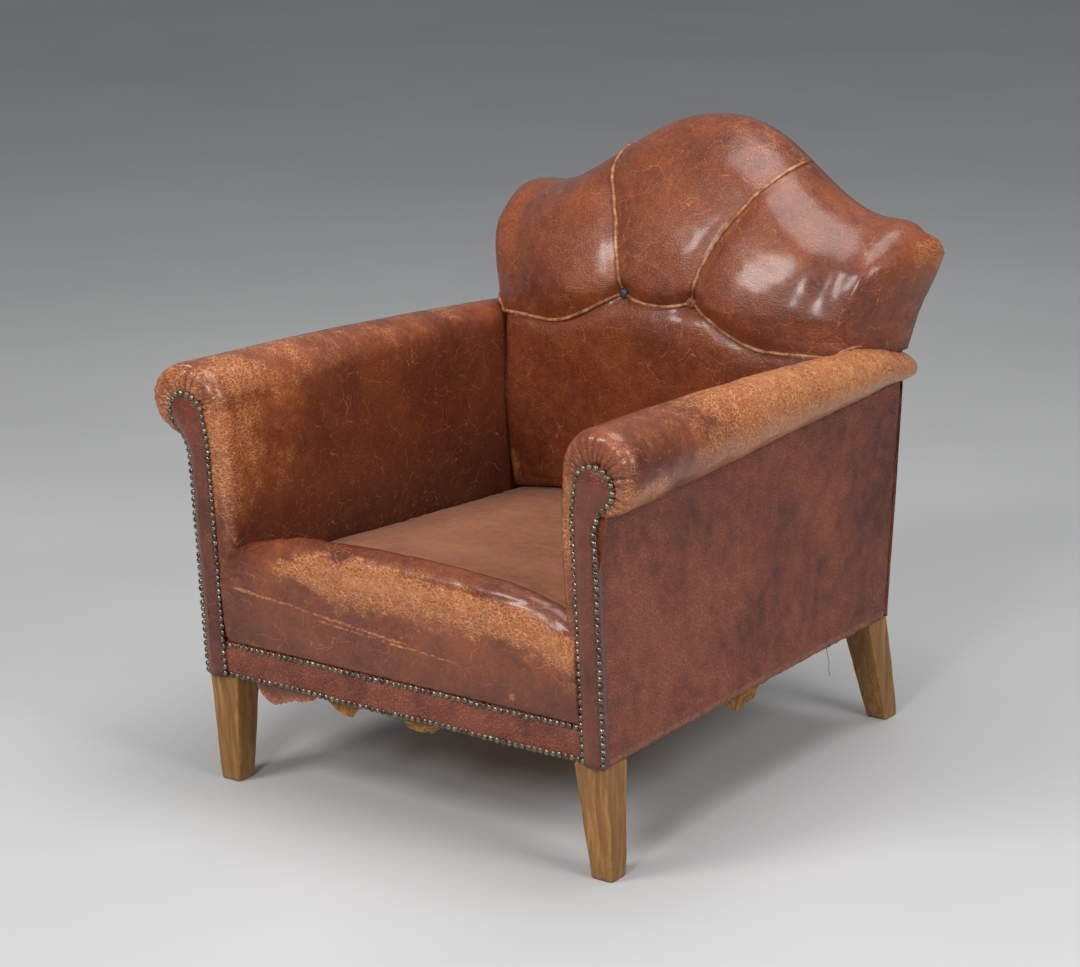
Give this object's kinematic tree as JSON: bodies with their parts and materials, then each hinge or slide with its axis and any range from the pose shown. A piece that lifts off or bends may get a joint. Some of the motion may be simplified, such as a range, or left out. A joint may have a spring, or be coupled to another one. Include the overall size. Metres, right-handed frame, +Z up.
{
  "type": "worn club chair",
  "caption": "Worn leather club chair: rolled arms with nailed fronts, camel-topped back with welted seams and two buttons, open seat deck, tapered wooden legs.",
  "frame": {"origin": "on the floor under the middle of the chair's box", "axes": "+Z up, the front of the chair faces -Y, +X is to the right of a person who stands in front of it"},
  "size_m": [0.7856, 0.8395, 0.838],
  "materials": {
    "frame_wood": "raw beech, sawn",
    "leg_wood": "golden brown stain, rubbed light on the edges",
    "leather": "glossy red-brown hide with scratches, creases and pale worn patches",
    "panel_leather": "matt pebbled red-brown hide with light scuffs",
    "worn_welt": "tan leather over cord, worn through its colour",
    "button_dark": "dark blue-black leather",
    "deck_cloth": "tan-brown napped cloth with faint creases",
    "jute": "coarse plain-woven jute",
    "spring_steel": "dull steel wire",
    "nail_brass": "antique brass with green tarnish"
  },
  "bodies": {
    "root": {"front_seat_rail": "frame_wood", "back_seat_rail": "frame_wood", "side_seat_rail_right": "frame_wood", "side_seat_rail_left": "frame_wood", "front_arm_post_right": "frame_wood", "front_arm_post_left": "frame_wood", "back_post_right": "frame_wood", "back_post_left": "frame_wood", "arm_top_rail_right": "frame_wood", "arm_top_rail_left": "frame_wood", "back_crest_rail": "frame_wood", "back_stuffing_rail": "frame_wood", "front_leg_right": "leg_wood", "front_leg_left": "leg_wood", "back_leg_right": "leg_wood", "back_leg_left": "leg_wood", "front_corner_block_right": "frame_wood", "front_corner_block_left": "frame_wood", "back_corner_block_right": "frame_wood", "back_corner_block_left": "frame_wood", "web_cross_1": "jute", "web_cross_2": "jute", "web_cross_3": "jute", "web_long_1": "jute", "web_long_2": "jute", "web_long_3": "jute", "spring_1_1": "spring_steel", "spring_1_2": "spring_steel", "spring_1_3": "spring_steel", "spring_2_1": "spring_steel", "spring_2_2": "spring_steel", "spring_2_3": "spring_steel", "spring_3_1": "spring_steel", "spring_3_2": "spring_steel", "spring_3_3": "spring_steel", "spring_hessian": "jute", "arm_pad_right": "leather", "arm_pad_left": "leather", "arm_facing_right": "leather", "arm_facing_left": "leather", "seat_deck": "deck_cloth", "seat_front_roll": "leather", "front_border": "panel_leather", "outside_arm_right": "panel_leather", "outside_arm_left": "panel_leather", "outside_back": "panel_leather", "back_crown": "leather", "back_wing_right": "leather", "back_wing_left": "leather", "back_lower": "leather", "back_welt_long": "worn_welt", "back_welt_rising_right": "worn_welt", "back_welt_rising_left": "worn_welt", "back_button_right": "worn_welt", "back_button_left": "button_dark", "facing_nails_right": "nail_brass", "facing_nails_left": "nail_brass", "border_nails": "nail_brass", "bottom_nails": "nail_brass", "bottom_cloth": "jute"}
  },
  "joints": []
}
